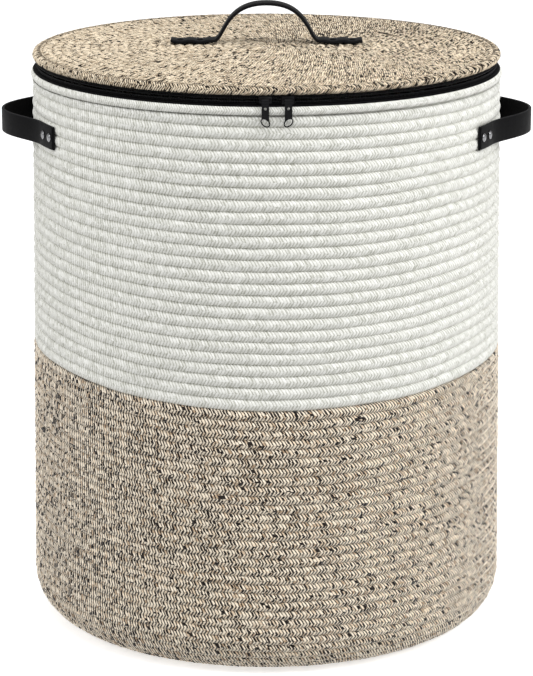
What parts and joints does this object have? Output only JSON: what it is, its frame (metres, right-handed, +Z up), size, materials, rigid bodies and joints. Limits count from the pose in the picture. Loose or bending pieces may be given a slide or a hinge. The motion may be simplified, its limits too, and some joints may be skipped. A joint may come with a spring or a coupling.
{
  "type": "laundry hamper",
  "caption": "Round laundry hamper of coiled two-tone rope with a zipped, hinged rope lid, two riveted leather side handles and an arched leather lid handle.",
  "frame": {"origin": "centre of the base's underside, on the floor", "axes": "+Z up, the zip's pulls at the front towards -Y, side handles at +X and -X, lid hinge at +Y"},
  "size_m": [0.4624, 0.4162, 0.5438],
  "materials": {
    "brown_rope": "braided heather cotton rope in cream, tan and dark brown",
    "white_rope": "braided off-white cotton rope",
    "zip_tape": "black woven zip tape",
    "zip_nylon": "black nylon coil teeth",
    "black_metal": "black enamelled metal",
    "black_leather": "semi-matt black grained leather with a paler cut edge",
    "rivet_metal": "dark nickel"
  },
  "bodies": {
    "basket": {"base_coil": "brown_rope", "lower_wall_coil": "brown_rope", "upper_wall_coil": "white_rope", "rim_rope": "white_rope", "zip_tape_lower": "zip_tape", "hinge_tape_lower": "zip_tape", "zip_teeth_lower": "zip_nylon", "zip_stop_lower_left": "black_metal", "zip_stop_lower_right": "black_metal", "side_strap_left": "black_leather", "side_strap_right": "black_leather", "side_rivet_left_1": "rivet_metal", "side_rivet_left_2": "rivet_metal", "side_rivet_left_3": "rivet_metal", "side_rivet_left_4": "rivet_metal", "side_rivet_right_1": "rivet_metal", "side_rivet_right_2": "rivet_metal", "side_rivet_right_3": "rivet_metal", "side_rivet_right_4": "rivet_metal", "side_rivet_back_left_1": "rivet_metal", "side_rivet_back_left_2": "rivet_metal", "side_rivet_back_left_3": "rivet_metal", "side_rivet_back_left_4": "rivet_metal", "side_rivet_back_right_1": "rivet_metal", "side_rivet_back_right_2": "rivet_metal", "side_rivet_back_right_3": "rivet_metal", "side_rivet_back_right_4": "rivet_metal"},
    "lid": {"lid_coil": "brown_rope", "zip_tape_upper": "zip_tape", "hinge_tape_upper": "zip_tape", "zip_teeth_upper": "zip_nylon", "zip_stop_upper_left": "black_metal", "zip_stop_upper_right": "black_metal", "lid_strap": "black_leather", "lid_rivet_1": "black_metal", "lid_rivet_2": "black_metal", "lid_rivet_3": "black_metal", "lid_rivet_4": "black_metal", "lid_rivet_back_1": "black_metal", "lid_rivet_back_2": "black_metal", "lid_rivet_back_3": "black_metal", "lid_rivet_back_4": "black_metal"},
    "slider_left": {"zip_slider_left": "black_metal"},
    "slider_right": {"zip_slider_right": "black_metal"},
    "pull_left": {"zip_pull_left": "black_metal"},
    "pull_right": {"zip_pull_right": "black_metal"}
  },
  "joints": [
    {"name": "lid_hinge", "type": "hinge", "parent": "basket", "child": "lid", "pos_m": [0, 0.204, 0.49375], "axis": [-1, 0, 0], "range_deg": [0, 180]},
    {"name": "slider_left_travel", "type": "hinge", "parent": "basket", "child": "slider_left", "pos_m": [0, 0, 0.49375], "axis": [0, 0, -1], "range_deg": [0, 168.5]},
    {"name": "pull_left_swing", "type": "hinge", "parent": "slider_left", "child": "pull_left", "pos_m": [-0.00087, -0.2057, 0.49375], "axis": [-1, 0.0042, 0], "range_deg": [0, 175]},
    {"name": "slider_right_travel", "type": "hinge", "parent": "basket", "child": "slider_right", "pos_m": [0, 0, 0.49375], "axis": [0, 0, 1], "range_deg": [0, 163.8]},
    {"name": "pull_right_swing", "type": "hinge", "parent": "slider_right", "child": "pull_right", "pos_m": [0.01772, -0.20494, 0.49375], "axis": [-0.9963, -0.0861, 0], "range_deg": [0, 175]}
  ]
}
